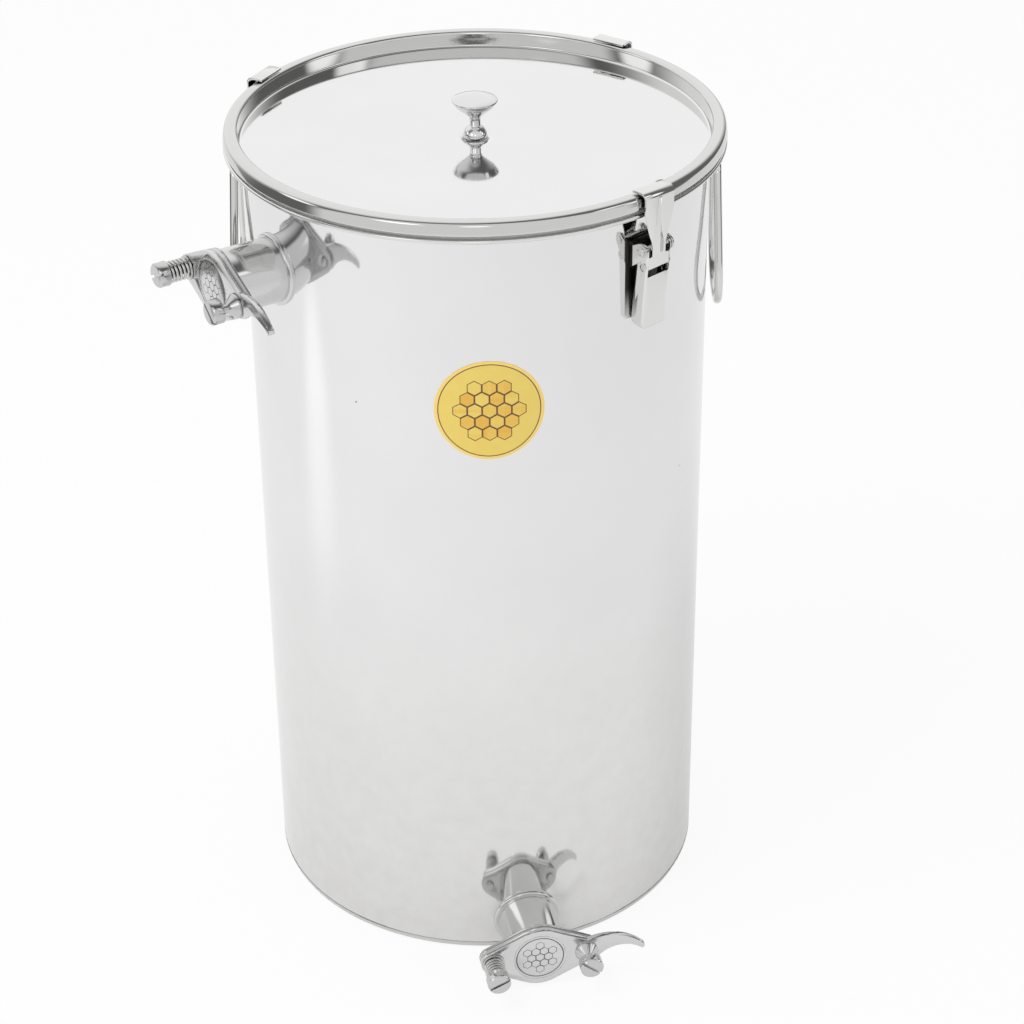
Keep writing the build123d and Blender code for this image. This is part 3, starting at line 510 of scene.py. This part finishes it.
# White paper: the camera sees it almost white, and the steel sees it a little less so
paper, tree = new_material("white_paper_sweep")
white_to_camera, white_to_steel = 0.9, 0.35
path = add(tree, "ShaderNodeLightPath")
bounced = add(tree, "ShaderNodeMath",
              [(0, path.outputs["Is Glossy Ray"]), (1, path.outputs["Is Transmission Ray"])],
              operation="MAXIMUM")
mirrored = add(tree, "ShaderNodeMath", [(0, bounced.outputs[0])], operation="MULTIPLY")
mirrored.inputs[1].default_value = white_to_steel
share = add(tree, "ShaderNodeMath", [(0, path.outputs["Is Camera Ray"]), (2, mirrored.outputs[0])],
            operation="MULTIPLY_ADD")
share.inputs[1].default_value = white_to_camera
matt = add(tree, "ShaderNodeBsdfDiffuse", Color=linear("#F4F4F4"))
white = add(tree, "ShaderNodeEmission", Strength=1.0)
mix = add(tree, "ShaderNodeMixShader",
          [(0, share.outputs[0]), (1, matt.outputs[0]), (2, white.outputs[0])])
add(tree, "ShaderNodeOutputMaterial", [("Surface", mix.outputs[0])])
floor_mesh.materials.append(paper)

# What the steel sees of the room: each bright place has a direction, the cosines of the angles at
# which it starts and is full, and its strength
plain_light, room = 0.78, 0.15
bright_places = {
    "sweep_behind": ((-0.15, 0.794, 0.59), 0.35, 0.85, 0.88),
    "pale_front": ((-0.189, -0.966, -0.174), 0.2, 0.4, 0.68),
    "right_lamp": ((0.892, -0.344, 0.292), 0.975, 0.994, 1.2),
    "left_lamp": ((-0.955, 0.101, 0.276), 0.975, 0.994, 1.2),
    "high_right_lamp": ((0.692, -0.418, 0.588), 0.985, 0.997, 1.1),
    "front_left_lamp": ((-0.668, -0.642, 0.375), 0.975, 0.994, 0.9),
    "front_lamp": ((-0.18, -0.922, 0.342), 0.99, 0.998, 1.0)}
world = bpy.data.worlds.new("studio")
scene.world = world
world.use_nodes = True
tree = world.node_tree
tree.nodes.clear()
direction = add(tree, "ShaderNodeTexCoord").outputs["Generated"]
seen = None
for aim, starts, full, strength in bright_places.values():
    toward = add(tree, "ShaderNodeVectorMath", [(0, direction)], operation="DOT_PRODUCT")
    toward.inputs[1].default_value = Vector(aim).normalized()
    glow = add(tree, "ShaderNodeMapRange", [("Value", toward.outputs["Value"])],
               interpolation_type="SMOOTHSTEP", From_Min=starts, From_Max=full, To_Max=strength)
    total = add(tree, "ShaderNodeMath", [(0, glow.outputs["Result"])], operation="ADD")
    if seen is None:
        total.inputs[1].default_value = room
    else:
        tree.links.new(seen, total.inputs[1])
    seen = total.outputs[0]
path = add(tree, "ShaderNodeLightPath")
bounced = add(tree, "ShaderNodeMath",
              [(0, path.outputs["Is Glossy Ray"]), (1, path.outputs["Is Transmission Ray"])],
              operation="MAXIMUM")
light = add(tree, "ShaderNodeMix", [(0, bounced.outputs[0]), (3, seen)], data_type="FLOAT")
light.inputs[2].default_value = plain_light
shown = add(tree, "ShaderNodeMath", [(0, light.outputs[0]), (1, path.outputs["Is Camera Ray"])],
            operation="MAXIMUM")
sky = add(tree, "ShaderNodeBackground", [("Strength", shown.outputs[0])], Color=linear("#FFFFFF"))
add(tree, "ShaderNodeOutputWorld", [("Surface", sky.outputs[0])])

soft_box = bpy.data.lights.new("soft_box", "AREA")
soft_box.size = 1.2
soft_box.energy = 27.0
# A spot that grazes the floor beside the can makes the bright streak down the wall's left side
floor_spot = bpy.data.lights.new("floor_spot", "SPOT")
floor_spot.energy = 170.0
floor_spot.spot_size = math.radians(8.0)
floor_spot.spot_blend = 1.0
floor_spot.shadow_soft_size = 0.05
lamps = ((soft_box, (-1.4, -0.6, 2.8), (0, 0, 0.3)),
         (floor_spot, (-3.3, 0.5, 1.0), (-1.03, 0.07, 0)))
for lamp, stand, aim in lamps:
    lamp_object = bpy.data.objects.new(lamp.name, lamp)
    lamp_object.location = stand
    lamp_object.rotation_euler = (Vector(aim) - Vector(stand)).to_track_quat("-Z", "Y").to_euler()
    lamp_object.visible_glossy = False
    scene.collection.objects.link(lamp_object)


# Camera: it stands where the photograph was taken from, as worked out from the outlines of the
# drum's rim, wall and floor, and leans by a small roll.
camera_data = bpy.data.cameras.new("camera")
camera_data.sensor_width = 36.0
camera_data.lens = 93.786
camera = bpy.data.objects.new("camera", camera_data)
scene.collection.objects.link(camera)
camera_stand = (-0.3407, -1.8723, 1.4628)
pitch, yaw, roll = (math.radians(angle) for angle in (31.0567, 11.0738, -0.5787))
ahead = Vector((math.sin(yaw) * math.cos(pitch), math.cos(yaw) * math.cos(pitch), -math.sin(pitch)))
side = Vector((math.cos(yaw), -math.sin(yaw), 0))
up = side.cross(ahead)
turned_side = side * math.cos(roll) + up * math.sin(roll)
turned_up = up * math.cos(roll) - side * math.sin(roll)
facing = Matrix((turned_side, turned_up, -ahead)).transposed().to_4x4()
camera.matrix_world = Matrix.Translation(camera_stand) @ facing
scene.camera = camera
